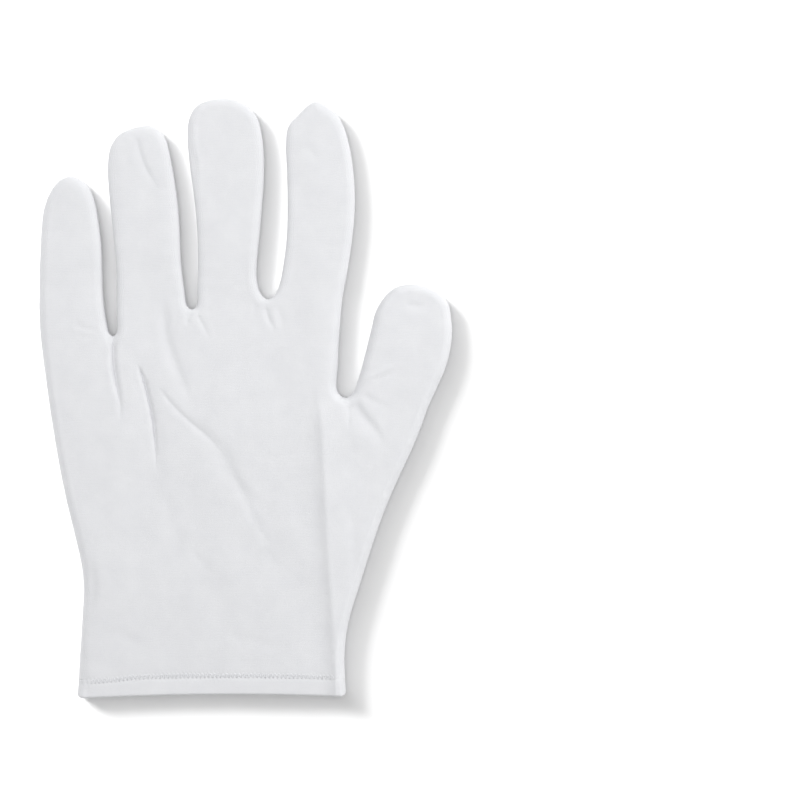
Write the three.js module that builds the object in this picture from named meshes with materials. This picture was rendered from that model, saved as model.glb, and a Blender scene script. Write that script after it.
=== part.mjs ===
// A thin white cotton glove for the left hand, lying flat with the back of the hand up.
//
// Millimetres. The cuff runs along X, the fingers point along +Y, the thumb lies on the +X side and
// the glove rests on Z = 0. While it is drawn, X = 0 is the middle of the cuff and Y = 0 its edge.
// The finished group has its origin under the middle of the whole glove.

import * as THREE from 'three';

// Cloth and clearances
const CLOTH = 1.0; // wall of the knitted cotton panels and side strips
const HEM_WALL = 1.5; // the hem is two layers, pressed and stitched
const GAP = 0.3; // clearance between neighbouring pieces

// Hand, cuff and wrist
const CUFF_WIDTH = 103;
const CUFF_BOW = 1.2; // how far the cuff's edge rises in its middle
const CUFF_SLANT = 0.8; // how far the cuff's edge rises from the little finger's side to the thumb's
const HEM_HEIGHT = 6.6; // cuff edge to the hem's stitch line
const PALM_LENGTH = 139.8; // cuff edge to the little finger's root
const KNUCKLE_SHIFT = -7.7; // middle of the knuckles, from the middle of the cuff
const RING_RISE = 10.7; // the ring finger's inner root above the little finger's
const MIDDLE_RISE = 4.7; // the middle finger's inner root above the ring finger's
const THUMB_HEIGHT = 117.6; // cuff edge to the thumb's inner root
const THUMB_DROP = 6.3; // the thumb's outer root below its inner one
const THUMB_TUCK = 2.2; // how far the index finger's side runs in on its way down to the thumb

// Fingers, across the root and from the root to the tip
const LITTLE_WIDTH = 26.3;
const LITTLE_LENGTH = 60.4;
const RING_WIDTH = 26.6;
const RING_LENGTH = 74.4;
const MIDDLE_WIDTH = 24.1;
const MIDDLE_LENGTH = 77.2;
const INDEX_WIDTH = 25.7;
const INDEX_LENGTH = 73.9;
const THUMB_WIDTH = 28.3;
const THUMB_LENGTH = 45.3;

// Lean of each finger towards the thumb's side, in degrees
const LITTLE_LEAN = -2.0;
const RING_LEAN = -3.4;
const MIDDLE_LEAN = -1.4;
const INDEX_LEAN = 2.0;
const THUMB_LEAN = 13.4;

// Width of each crotch, from finger to finger
const LITTLE_CROTCH = 3.1;
const RING_CROTCH = 4.2;
const MIDDLE_CROTCH = 6.1;
const THUMB_CROTCH = 6.4;

// Thickness of the lying glove, from the surface under it to its top
const CUFF_DEPTH = 8.2;
const PALM_DEPTH = 9.0;
const KNUCKLE_DEPTH = 8.0;
const FINGER_DEPTH = 7.2;
const TIP_DEPTH = 6.6;
const SEAM_HEIGHT = 3.4; // side seam above the surface
const EDGE_ROLL = 4.0; // how far in from its outline the cloth rolls over
const CROWN_ROLL = 13; // how far in the slight crown of each finger still rises
const CROWN_SHARE = 0.16; // part of the rise that belongs to that crown
const STRIP_HEIGHT = 3.0; // visible height of the side strips between the fingers
const STRIP_TAPER = 26; // length over which a strip narrows towards each tip
const STRIP_BULGE = 0.4; // how far a strip swells outward
const STRIP_END = 0.5; // height of a strip where it runs out at a tip

const COTTON = new THREE.MeshStandardMaterial({ color: 0xe8e9ed, roughness: 0.92, metalness: 0 });
const COTTON_STRIP = new THREE.MeshStandardMaterial({ color: 0xdfe1e6, roughness: 0.94, metalness: 0 });
const COTTON_HEM = new THREE.MeshStandardMaterial({ color: 0xe4e5ea, roughness: 0.92, metalness: 0 });

// Outlines of the fingers. up is a share of the finger's length above its root, and left and right
// are shares of its width from its middle line. The tip's place across is a share of the width too.
const LITTLE_OUTLINE = {
  tip: 0.0,
  rows: [
    { up: 0.12, left: -0.505, right: 0.447 },
    { up: 0.32, left: -0.489, right: 0.424 },
    { up: 0.52, left: -0.46, right: 0.432 },
    { up: 0.73, left: -0.413, right: 0.392 },
    { up: 0.83, left: -0.364, right: 0.354 },
    { up: 0.93, left: -0.243, right: 0.276 },
    { up: 0.975, left: -0.143, right: 0.171 },
  ],
};
const RING_OUTLINE = {
  tip: 0.1,
  rows: [
    { up: 0.1, left: -0.45, right: 0.467 },
    { up: 0.27, left: -0.427, right: 0.432 },
    { up: 0.52, left: -0.45, right: 0.441 },
    { up: 0.69, left: -0.466, right: 0.415 },
    { up: 0.85, left: -0.448, right: 0.366 },
    { up: 0.93, left: -0.37, right: 0.322 },
    { up: 0.972, left: -0.245, right: 0.27 },
  ],
};
const MIDDLE_OUTLINE = {
  tip: -0.03,
  rows: [
    { up: 0.08, left: -0.478, right: 0.443 },
    { up: 0.16, left: -0.464, right: 0.443 },
    { up: 0.32, left: -0.46, right: 0.499 },
    { up: 0.48, left: -0.486, right: 0.553 },
    { up: 0.64, left: -0.543, right: 0.595 },
    { up: 0.8, left: -0.579, right: 0.577 },
    { up: 0.88, left: -0.567, right: 0.533 },
    { up: 0.94, left: -0.498, right: 0.43 },
    { up: 0.98, left: -0.359, right: 0.27 },
  ],
};
const INDEX_OUTLINE = {
  tip: 0.0,
  rows: [
    { up: 0.05, left: -0.441, right: 0.523 },
    { up: 0.22, left: -0.377, right: 0.587 },
    { up: 0.31, left: -0.363, right: 0.612 },
    { up: 0.47, left: -0.369, right: 0.63 },
    { up: 0.64, left: -0.398, right: 0.59 },
    { up: 0.8, left: -0.427, right: 0.497 },
    { up: 0.87, left: -0.395, right: 0.425 },
    { up: 0.93, left: -0.24, right: 0.33 },
    { up: 0.97, left: -0.14, right: 0.19 },
  ],
};
const THUMB_OUTLINE = {
  tip: 0.0,
  rows: [
    { up: 0.17, left: -0.475, right: 0.55 },
    { up: 0.4, left: -0.47, right: 0.612 },
    { up: 0.55, left: -0.468, right: 0.608 },
    { up: 0.68, left: -0.47, right: 0.58 },
    { up: 0.8, left: -0.42, right: 0.52 },
    { up: 0.89, left: -0.345, right: 0.465 },
    { up: 0.95, left: -0.25, right: 0.355 },
    { up: 0.985, left: -0.13, right: 0.24 },
  ],
};

// Sides of the hand. up is a share of the height of the side's top end, and out the share of the way
// that the side has gone from the cuff's corner to that end.
const LITTLE_SIDE = [
  { up: 0.0, out: 0.0 },
  { up: 0.12, out: -0.07 },
  { up: 0.22, out: -0.13 },
  { up: 0.3, out: -0.17 },
  { up: 0.345, out: -0.14 },
  { up: 0.39, out: -0.06 },
  { up: 0.48, out: 0.15 },
  { up: 0.57, out: 0.36 },
  { up: 0.74, out: 0.66 },
  { up: 0.92, out: 0.91 },
  { up: 1.0, out: 1.0 },
];
const THUMB_SIDE = [
  { up: 0.0, out: 0.0 },
  { up: 0.13, out: -0.02 },
  { up: 0.21, out: 0.0 },
  { up: 0.27, out: 0.035 },
  { up: 0.32, out: 0.09 },
  { up: 0.49, out: 0.28 },
  { up: 0.6, out: 0.41 },
  { up: 0.71, out: 0.565 },
  { up: 0.8, out: 0.71 },
  { up: 0.89, out: 0.857 },
  { up: 1.0, out: 1.0 },
];

// Folds of the upper panel, each with the places of its ends: across, as a share of the width over
// the knuckles from the cuff's middle, and up, as a share of the palm's length. bow is how far the
// fold curves to its right, as a share of its own length. deep is a share of the palm's thickness,
// minus for a ridge, and wide a share of the width over the knuckles.
const FOLDS = [
  { what: 'crease under little finger', from: [-0.326, 1.0], to: [-0.3, 0.8],
    bow: -0.02, deep: 0.2, wide: 0.011 },
  { what: 'crease under ring finger', from: [-0.249, 0.93], to: [-0.176, 0.62],
    bow: -0.05, deep: 0.15, wide: 0.02 },
  { what: 'long valley over the palm', from: [-0.156, 0.84], to: [0.17, 0.5],
    bow: -0.09, deep: 0.1, wide: 0.026 },
  { what: 'valley up the ring finger', from: [-0.152, 1.11], to: [-0.063, 0.82],
    bow: 0.03, deep: 0.08, wide: 0.022 },
  { what: 'gather under ring crotch', from: [-0.06, 1.05], to: [-0.01, 0.95],
    bow: 0, deep: 0.08, wide: 0.016 },
  { what: 'gather under middle crotch', from: [0.18, 1.08], to: [0.22, 0.97],
    bow: 0, deep: 0.1, wide: 0.014 },
  { what: 'gather under thumb crotch', from: [0.47, 0.81], to: [0.57, 0.7],
    bow: 0.1, deep: 0.1, wide: 0.02 },
  { what: 'wrinkle over the thumb', from: [0.5, 0.87], to: [0.62, 0.915],
    bow: 0.05, deep: -0.06, wide: 0.016 },
  { what: 'hollow under that wrinkle', from: [0.51, 0.84], to: [0.63, 0.89],
    bow: 0.05, deep: 0.06, wide: 0.018 },
  { what: 'dimple of the thumb tip', from: [0.65, 1.07], to: [0.73, 1.07],
    bow: 0, deep: 0.06, wide: 0.018 },
  { what: 'pressed ridge by the thumb', from: [0.41, 0.82], to: [0.385, 0.0],
    bow: 0.01, deep: -0.08, wide: 0.014 },
  { what: 'slack beside that ridge', from: [0.36, 0.8], to: [0.33, 0.02],
    bow: 0, deep: 0.09, wide: 0.035 },
  { what: 'slack along the wrist', from: [0.468, 0.52], to: [0.47, 0.27],
    bow: 0.02, deep: 0.07, wide: 0.018 },
  { what: 'pressed line at the wrist', from: [-0.395, 0.44], to: [-0.42, 0.06],
    bow: 0.05, deep: 0.07, wide: 0.014 },
];

// Where the lattice lines of a finger lie across it, and its rows up each side to the tip
const ACROSS = [0, 0.09, 0.27, 0.5, 0.73, 0.91, 1];
const FINGER_ROWS = [0.07, 0.16, 0.27, 0.39, 0.51, 0.62, 0.72, 0.81, 0.88, 0.94];
const ROWS_TO_THUMB = 12;
const ROWS_TO_FINGERS = 16;
const STRIP_INSET_COLUMN = 1; // a strip runs out at this lattice line beside the tip

const { lerp, clamp, degToRad, smoothstep } = THREE.MathUtils;

// Smooth curve through a table: value of one column where another column has a given value
function readTable(rows, key, at, column) {
  let i = 0;
  while (i < rows.length - 2 && at > rows[i + 1][key]) i += 1;
  const slope = (a, b) => (rows[b][column] - rows[a][column]) / (rows[b][key] - rows[a][key]);
  const step = rows[i + 1][key] - rows[i][key];
  const startSlope = i > 0 ? slope(i - 1, i + 1) : slope(i, i + 1);
  const endSlope = i < rows.length - 2 ? slope(i, i + 2) : slope(i, i + 1);
  const t = clamp((at - rows[i][key]) / step, 0, 1);
  const near = rows[i][column] * (1 + t * t * (2 * t - 3)) + startSlope * step * t * (1 - t) * (1 - t);
  const far = rows[i + 1][column] * t * t * (3 - 2 * t) - endSlope * step * t * t * (1 - t);
  return near + far;
}

// Roots of the fingers, from the little finger's side to the thumb's
const KNUCKLE_WIDTH = LITTLE_WIDTH + LITTLE_CROTCH + RING_WIDTH + RING_CROTCH
  + MIDDLE_WIDTH + MIDDLE_CROTCH + INDEX_WIDTH;
const littleRoot = PALM_LENGTH;
const ringRoot = littleRoot + RING_RISE;
const middleRoot = ringRoot + MIDDLE_RISE;
const knuckleLeft = KNUCKLE_SHIFT - KNUCKLE_WIDTH / 2;

function rootPair(x, y, width, rise) {
  return { left: new THREE.Vector2(x, y), right: new THREE.Vector2(x + width, y + rise) };
}

const littleFoot = rootPair(knuckleLeft, littleRoot, LITTLE_WIDTH, 0);
const ringFoot = rootPair(littleFoot.right.x + LITTLE_CROTCH, littleRoot, RING_WIDTH, RING_RISE);
const middleFoot = rootPair(ringFoot.right.x + RING_CROTCH, ringRoot, MIDDLE_WIDTH, MIDDLE_RISE);
const indexFoot = rootPair(middleFoot.right.x + MIDDLE_CROTCH, middleRoot, INDEX_WIDTH, 0);
const thumbLeft = indexFoot.right.x - THUMB_TUCK + THUMB_CROTCH;
const thumbFoot = rootPair(thumbLeft, THUMB_HEIGHT, THUMB_WIDTH, -THUMB_DROP);

const FINGERS = [
  { name: 'little', foot: littleFoot, length: LITTLE_LENGTH, lean: LITTLE_LEAN, outline: LITTLE_OUTLINE },
  { name: 'ring', foot: ringFoot, length: RING_LENGTH, lean: RING_LEAN, outline: RING_OUTLINE },
  { name: 'middle', foot: middleFoot, length: MIDDLE_LENGTH, lean: MIDDLE_LEAN, outline: MIDDLE_OUTLINE },
  { name: 'index', foot: indexFoot, length: INDEX_LENGTH, lean: INDEX_LEAN, outline: INDEX_OUTLINE },
  { name: 'thumb', foot: thumbFoot, length: THUMB_LENGTH, lean: THUMB_LEAN, outline: THUMB_OUTLINE },
];

// Height of the cuff's edge, which bows and slants a little
function cuffEdge(x) {
  const share = x / (CUFF_WIDTH / 2);
  return CUFF_BOW * (1 - share * share) + CUFF_SLANT * (share + 1) / 2;
}

// Side of the hand on either side, and the lines on which its strips meet below the crotches
function sideX(foot, rows, cornerX, y) {
  return lerp(cornerX, foot.x, readTable(rows, 'up', y / foot.y, 'out'));
}

const CUFF_SPLITS = [-0.61, -0.17, 0.25, 0.85]; // of half the cuff's width
const SPLIT_WIDTH = 0.045; // half the width of a crotch's strip at the cuff, of half the cuff's width
const CROTCH_SAG = 0.42; // depth of a crotch below its roots, of its width

const crotches = CUFF_SPLITS.map((split, i) => {
  const isThumb = i === CUFF_SPLITS.length - 1;
  const besideThumb = new THREE.Vector2(indexFoot.right.x - THUMB_TUCK, THUMB_HEIGHT);
  const left = isThumb ? besideThumb : FINGERS[i].foot.right;
  const { left: right } = FINGERS[i + 1].foot;
  const middle = left.clone().lerp(right, 0.5);
  middle.y -= CROTCH_SAG * left.distanceTo(right);
  const halfCuff = CUFF_WIDTH / 2;
  const starts = [-1, 0, 1].map((step) => (split + step * SPLIT_WIDTH) * halfCuff);
  return { isThumb, starts, tops: [left, middle, right] };
});

// Lattice of the glove seen from above: points in the plane, with the glove's thickness there
const points = [];
const quads = [];

function addPoint(x, y, depth) {
  points.push({ x, y, depth });
  return points.length - 1;
}

function joinRows(lower, upper) {
  for (let c = 0; c < upper.length - 1; c += 1) {
    quads.push([lower[c], lower[c + 1], upper[c + 1], upper[c]]);
  }
}

function handDepth(y) {
  const up = y / PALM_LENGTH;
  const overPalm = lerp(CUFF_DEPTH, PALM_DEPTH, smoothstep(up, 0, 0.45));
  return lerp(overPalm, KNUCKLE_DEPTH, smoothstep(up, 0.7, 1.05));
}

// Rows of the hand climb from the hem to the thumb's root, and on to the fingers' roots
const thumbLevel = thumbFoot.right.y;

function hemTop(x) {
  return cuffEdge(x) + HEM_HEIGHT + GAP;
}

function climb(row, start, level, top) {
  if (row <= ROWS_TO_THUMB) return lerp(start, level, row / ROWS_TO_THUMB);
  return lerp(level, top, (row - ROWS_TO_THUMB) / (ROWS_TO_FINGERS - ROWS_TO_THUMB));
}

// Lines that cross those rows: the two sides of the hand, and three lines below each crotch
function littleSideLine() {
  const cornerX = -CUFF_WIDTH / 2;
  const at = (row) => {
    const y = climb(row, hemTop(cornerX), thumbLevel, littleFoot.left.y);
    return { x: sideX(littleFoot.left, LITTLE_SIDE, cornerX, y), y };
  };
  return { at, lastRow: ROWS_TO_FINGERS };
}

function thumbSideLine() {
  const cornerX = CUFF_WIDTH / 2;
  const at = (row) => {
    const y = lerp(hemTop(cornerX), thumbLevel, row / ROWS_TO_THUMB);
    return { x: sideX(thumbFoot.right, THUMB_SIDE, cornerX, y), y };
  };
  return { at, lastRow: ROWS_TO_THUMB };
}

function fingerCrotchLine(startX, top) {
  const start = hemTop(startX);
  const at = (row) => {
    const y = climb(row, start, thumbLevel, top.y);
    return { x: lerp(startX, top.x, smoothstep(y, start, top.y)), y };
  };
  return { at, lastRow: ROWS_TO_FINGERS };
}

function thumbCrotchLine(startX, top) {
  const at = (row) => {
    const up = row / ROWS_TO_THUMB;
    return { x: lerp(startX, top.x, up * up), y: lerp(hemTop(startX), top.y, up) };
  };
  return { at, lastRow: ROWS_TO_THUMB };
}

function indexSideLine(startX, top) {
  const below = thumbCrotchLine(startX, top);
  const at = (row) => {
    if (row <= ROWS_TO_THUMB) return below.at(row);
    const up = (row - ROWS_TO_THUMB) / (ROWS_TO_FINGERS - ROWS_TO_THUMB);
    return { x: lerp(top.x, indexFoot.right.x, up * up), y: lerp(top.y, indexFoot.right.y, up) };
  };
  return { at, lastRow: ROWS_TO_FINGERS };
}

const crotchLines = crotches.flatMap(({ isThumb, starts, tops }) => starts.map((startX, i) => {
  if (!isThumb) return fingerCrotchLine(startX, tops[i]);
  return i === 0 ? indexSideLine(startX, tops[i]) : thumbCrotchLine(startX, tops[i]);
}));
const lines = [littleSideLine(), ...crotchLines, thumbSideLine()];

const handRows = [];
for (let row = 0; row <= ROWS_TO_FINGERS; row += 1) {
  const ends = lines.filter((line) => row <= line.lastRow).map((line) => line.at(row));
  const ids = [];
  ends.forEach((end, e) => {
    const startsFinger = e % 3 === 0 && e < ends.length - 1; // the two others bound a crotch's strip
    const shares = startsFinger ? ACROSS.slice(0, -1) : [0];
    shares.forEach((share) => {
      const x = share > 0 ? lerp(end.x, ends[e + 1].x, share) : end.x;
      const y = share > 0 ? lerp(end.y, ends[e + 1].y, share) : end.y;
      ids.push(addPoint(x, y, handDepth(y)));
    });
  });
  handRows.push(ids);
}
for (let row = 0; row < ROWS_TO_FINGERS; row += 1) {
  joinRows(handRows[row], handRows[row + 1]);
}

// One finger: its outline as a smooth curve over the tip, and rows of lattice points up to the tip
function fingerCurve(finger) {
  const { left, right } = finger.foot;
  const root = left.clone().add(right).multiplyScalar(0.5);
  const width = left.distanceTo(right);
  const lean = degToRad(finger.lean);
  const place = (across, up) => {
    const s = across * width;
    const v = up * finger.length;
    const x = root.x + s * Math.cos(lean) + v * Math.sin(lean);
    const y = root.y - s * Math.sin(lean) + v * Math.cos(lean);
    return new THREE.Vector3(x, y, 0);
  };
  const { rows, tip } = finger.outline;
  const leftSide = rows.map((row) => place(row.left, row.up));
  const rightSide = rows.map((row) => place(row.right, row.up)).reverse();
  const start = new THREE.Vector3(left.x, left.y, 0);
  const end = new THREE.Vector3(right.x, right.y, 0);
  const stops = [start, ...leftSide, place(tip, 1), ...rightSide, end];
  const curve = new THREE.CatmullRomCurve3(stops, false, 'centripetal');
  let top = 0.5;
  for (let u = 0.3; u < 0.7; u += 0.002) {
    if (curve.getPointAt(u).y > curve.getPointAt(top).y) top = u;
  }
  return { curve, top };
}

function growFinger(finger, rootRow) {
  const { curve, top } = fingerCurve(finger);
  let below = rootRow;
  FINGER_ROWS.forEach((share, i) => {
    const isLast = i === FINGER_ROWS.length - 1;
    const uLeft = share * top;
    const uRight = 1 - share * (1 - top);
    const left = curve.getPointAt(uLeft);
    const right = curve.getPointAt(uRight);
    const pastRoot = lerp(KNUCKLE_DEPTH, FINGER_DEPTH, smoothstep(share, 0, 0.3));
    const depth = lerp(pastRoot, TIP_DEPTH, smoothstep(share, 0.6, 1));
    const row = ACROSS.map((across) => {
      const onRow = left.clone().lerp(right, across);
      const place = isLast ? curve.getPointAt(lerp(uLeft, uRight, across)) : onRow;
      return addPoint(place.x, place.y, depth);
    });
    joinRows(below, row);
    below = row;
  });
  return below;
}

const tipRows = FINGERS.map((finger, i) => {
  const start = i * (ACROSS.length + 1);
  const rootRow = handRows[i < 4 ? ROWS_TO_FINGERS : ROWS_TO_THUMB];
  return growFinger(finger, rootRow.slice(start, start + ACROSS.length));
});

// The outline is the chain of lattice edges that belong to one quad only
const nextOnOutline = new Map();
quads.forEach((quad) => {
  quad.forEach((from, i) => {
    const to = quad[(i + 1) % 4];
    const isShared = quads.some((other) => other.some((a, j) => a === to && other[(j + 1) % 4] === from));
    if (!isShared) nextOnOutline.set(from, to);
  });
});
const outline = [handRows[0][0]];
while (nextOnOutline.get(outline[outline.length - 1]) !== outline[0]) {
  outline.push(nextOnOutline.get(outline[outline.length - 1]));
}
const hemCount = handRows[0].length;
const side = outline.slice(hemCount - 1).concat(outline[0]); // the outline without the hem's edge

// Direction into the cloth at each outline point, made longer at corners so that the wall keeps its size
const inward = new Map();
side.forEach((id, i) => {
  const at = points[id];
  const before = points[side[Math.max(i - 1, 0)]];
  const after = points[side[Math.min(i + 1, side.length - 1)]];
  const isEnd = i === 0 || i === side.length - 1;
  const first = new THREE.Vector2(before.y - at.y, at.x - before.x).normalize();
  const second = new THREE.Vector2(at.y - after.y, after.x - at.x).normalize();
  const sum = first.clone().add(second).normalize();
  const stretch = isEnd ? 1 : Math.min(1 / Math.max(sum.dot(second), 0.6), 1.4);
  inward.set(id, isEnd ? new THREE.Vector2(-Math.sign(at.x), 0) : sum.multiplyScalar(stretch));
});

// Side strips: from a tip down into the crotch and up to the next tip, as stretches of the outline
const STRIPS = [
  { name: 'fourchette_little_ring', first: 1, second: 0 },
  { name: 'fourchette_ring_middle', first: 2, second: 1 },
  { name: 'fourchette_middle_index', first: 3, second: 2 },
];
const halfHeight = new Map(side.map((id) => [id, GAP / 2]));
STRIPS.forEach((strip) => {
  const start = tipRows[strip.first][STRIP_INSET_COLUMN];
  const end = tipRows[strip.second][ACROSS.length - 1 - STRIP_INSET_COLUMN];
  strip.ids = side.slice(side.indexOf(start), side.indexOf(end) + 1);
  const lengths = [0];
  strip.ids.slice(1).forEach((id, i) => {
    const before = points[strip.ids[i]];
    lengths.push(lengths[i] + Math.hypot(points[id].x - before.x, points[id].y - before.y));
  });
  const whole = lengths[lengths.length - 1];
  strip.heights = lengths.map((length) => {
    const fromEnd = Math.min(length, whole - length);
    return lerp(STRIP_END, STRIP_HEIGHT, smoothstep(fromEnd, 0, STRIP_TAPER));
  });
  strip.ids.forEach((id, i) => halfHeight.set(id, strip.heights[i] / 2 + GAP));
});

// Distance from a place to the sides of the glove, and the height of half the seam gap there
function nearSide(x, y) {
  let best = { distance: Infinity, half: GAP / 2 };
  for (let i = 0; i < side.length - 1; i += 1) {
    const a = points[side[i]];
    const b = points[side[i + 1]];
    const dx = b.x - a.x;
    const dy = b.y - a.y;
    const t = clamp(((x - a.x) * dx + (y - a.y) * dy) / (dx * dx + dy * dy), 0, 1);
    const distance = Math.hypot(x - a.x - t * dx, y - a.y - t * dy);
    if (distance < best.distance) {
      best = { distance, half: lerp(halfHeight.get(side[i]), halfHeight.get(side[i + 1]), t) };
    }
  }
  return best;
}

// Rise of the cloth at a distance from the outline: a rolled edge and a slight crown
function rollRise(distance, roll) {
  const short = 1 - clamp(distance / roll, 0, 1);
  return Math.sqrt(1 - short * short);
}

function rise(distance, inset) {
  const edge = rollRise(distance - inset, EDGE_ROLL - inset);
  const crown = rollRise(distance - inset, CROWN_ROLL - inset);
  return (1 - CROWN_SHARE) * edge + CROWN_SHARE * crown;
}

// Sum of the folds at a place of the upper panel, fading out at the glove's edge
function foldDepth(x, y, distance) {
  let sum = 0;
  FOLDS.forEach((fold) => {
    const start = new THREE.Vector2(fold.from[0] * KNUCKLE_WIDTH, fold.from[1] * PALM_LENGTH);
    const end = new THREE.Vector2(fold.to[0] * KNUCKLE_WIDTH, fold.to[1] * PALM_LENGTH);
    const along = end.clone().sub(start);
    const length = along.length();
    const place = new THREE.Vector2(x, y).sub(start);
    const t = place.dot(along) / (length * length);
    const off = along.cross(place) / length;
    const bowed = off + 4 * fold.bow * length * t * (1 - t);
    const width = fold.wide * KNUCKLE_WIDTH;
    const fade = smoothstep(t, -0.12, 0.12) * (1 - smoothstep(t, 0.8, 1.15));
    sum += fold.deep * PALM_DEPTH * fade * Math.exp(-(bowed * bowed) / (2 * width * width));
  });
  return sum * smoothstep(distance, 0, EDGE_ROLL);
}

points.forEach((point) => {
  const near = nearSide(point.x, point.y);
  point.distance = near.distance;
  point.half = near.half;
  point.fold = foldDepth(point.x, point.y, near.distance);
});

// Heights of the four cloth faces at a lattice point
function backOutside(point) {
  const rim = SEAM_HEIGHT + point.half;
  return rim + (point.depth - rim) * rise(point.distance, 0) - point.fold;
}

function backInside(point) {
  const rim = SEAM_HEIGHT + point.half;
  return rim + (point.depth - CLOTH - rim) * rise(Math.max(point.distance, CLOTH), CLOTH) - point.fold;
}

function palmOutside(point) {
  const rim = SEAM_HEIGHT - point.half;
  return rim * (1 - rollRise(point.distance, EDGE_ROLL));
}

function palmInside(point) {
  const rim = SEAM_HEIGHT - point.half;
  return rim - (rim - CLOTH) * rollRise(Math.max(point.distance - CLOTH, 0), EDGE_ROLL - CLOTH);
}

function bodyFrom(vertices, triangles) {
  const geometry = new THREE.BufferGeometry();
  geometry.setAttribute('position', new THREE.Float32BufferAttribute(vertices.flat(), 3));
  geometry.setIndex(triangles.flat());
  geometry.computeVertexNormals();
  return geometry;
}

// A panel is the lattice twice, as an upper and a lower face, joined by a rim along the outline.
// The face on the inside of the glove starts one wall in from the outline.
function panel(upperHeight, lowerHeight, insideIsLower) {
  const insetPlace = (point, id) => {
    const into = inward.get(id);
    return into ? [point.x + into.x * CLOTH, point.y + into.y * CLOTH] : [point.x, point.y];
  };
  const face = (height, isInside) => points.map((point, id) => {
    const [x, y] = isInside ? insetPlace(point, id) : [point.x, point.y];
    return [x, y, height(point)];
  });
  const vertices = [...face(upperHeight, insideIsLower === false), ...face(lowerHeight, insideIsLower)];
  const below = points.length;
  const triangles = [];
  quads.forEach(([a, b, c, d]) => {
    triangles.push([a, b, c], [a, c, d]);
    triangles.push([below + a, below + c, below + b], [below + a, below + d, below + c]);
  });
  outline.forEach((a, i) => {
    const b = outline[(i + 1) % outline.length];
    triangles.push([b, a, below + a], [b, below + a, below + b]);
  });
  return bodyFrom(vertices, triangles);
}

// A side strip: a band on edge that follows the outline, a little swollen outward
function sideStrip(strip) {
  const sections = strip.ids.map((id, i) => {
    const point = points[id];
    const into = inward.get(id);
    const half = strip.heights[i] / 2;
    const bulge = -STRIP_BULGE * strip.heights[i] / STRIP_HEIGHT;
    const spot = (inset, z) => [point.x + into.x * inset, point.y + into.y * inset, SEAM_HEIGHT + z];
    const outside = [spot(0, -half), spot(bulge, 0), spot(0, half)];
    const inside = [spot(CLOTH, half), spot(CLOTH + bulge, 0), spot(CLOTH, -half)];
    return [...outside, ...inside];
  });
  return loft(sections, false);
}

// Closed body through sections of equal count. A ring of sections closes on itself.
function loft(sections, isRing) {
  const count = sections[0].length;
  const triangles = [];
  const last = isRing ? sections.length : sections.length - 1;
  for (let s = 0; s < last; s += 1) {
    const here = s * count;
    const there = ((s + 1) % sections.length) * count;
    for (let i = 0; i < count; i += 1) {
      const j = (i + 1) % count;
      triangles.push([here + i, there + i, there + j], [here + i, there + j, here + j]);
    }
  }
  if (!isRing) {
    const end = (sections.length - 1) * count;
    for (let i = 1; i < count - 1; i += 1) {
      triangles.push([0, i, i + 1], [end, end + i + 1, end + i]);
    }
  }
  return bodyFrom(sections.flat(), triangles);
}

// The hem: a flattened ring of double cloth round the wrist, from the cuff's edge to the stitch line
function hem() {
  const rounds = [];
  const hemRow = handRows[0].map((id) => points[id]);
  const left = hemRow[0].x;
  const right = hemRow[hemRow.length - 1].x;
  const shareOf = hemRow.map((point) => (point.x - left) / (right - left));
  const upper = shareOf.map((share) => ({ share, isUpper: true }));
  const lower = shareOf.slice(1, -1).reverse().map((share) => ({ share, isUpper: false }));
  [...upper, ...lower].forEach(({ share, isUpper }) => {
    const x = (share - 0.5) * CUFF_WIDTH;
    const distance = Math.min(share, 1 - share) * CUFF_WIDTH;
    const section = (inset, up) => {
      const shrink = 1 - 2 * inset / CUFF_WIDTH;
      const roll = rollRise(distance * shrink, EDGE_ROLL - inset);
      const top = lerp(SEAM_HEIGHT, CUFF_DEPTH - inset, roll);
      const bottom = lerp(SEAM_HEIGHT, inset, roll);
      return [x * shrink, cuffEdge(x) + up, isUpper ? top : bottom];
    };
    rounds.push([section(0, 0), section(0, HEM_HEIGHT), section(HEM_WALL, HEM_HEIGHT), section(HEM_WALL, 0)]);
  });
  return loft(rounds, true);
}

function piece(name, geometry, material) {
  const mesh = new THREE.Mesh(geometry, material);
  mesh.name = name;
  return mesh;
}

const glove = new THREE.Group();
glove.add(piece('back_panel', panel(backOutside, backInside, true), COTTON));
glove.add(piece('palm_panel', panel(palmInside, palmOutside, false), COTTON));
STRIPS.forEach((strip) => glove.add(piece(strip.name, sideStrip(strip), COTTON_STRIP)));
glove.add(piece('cuff_hem', hem(), COTTON_HEM));

// The origin goes under the middle of the whole glove
const bounds = new THREE.Box3().setFromObject(glove);
const middle = bounds.getCenter(new THREE.Vector3());
glove.position.set(-middle.x, -middle.y, -bounds.min.z);

export default glove;
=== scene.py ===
import math

import bmesh
import bpy
import numpy as np
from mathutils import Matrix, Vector, noise
from mathutils.bvhtree import BVHTree
from mathutils.geometry import delaunay_2d_cdt
from mathutils.kdtree import KDTree


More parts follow.
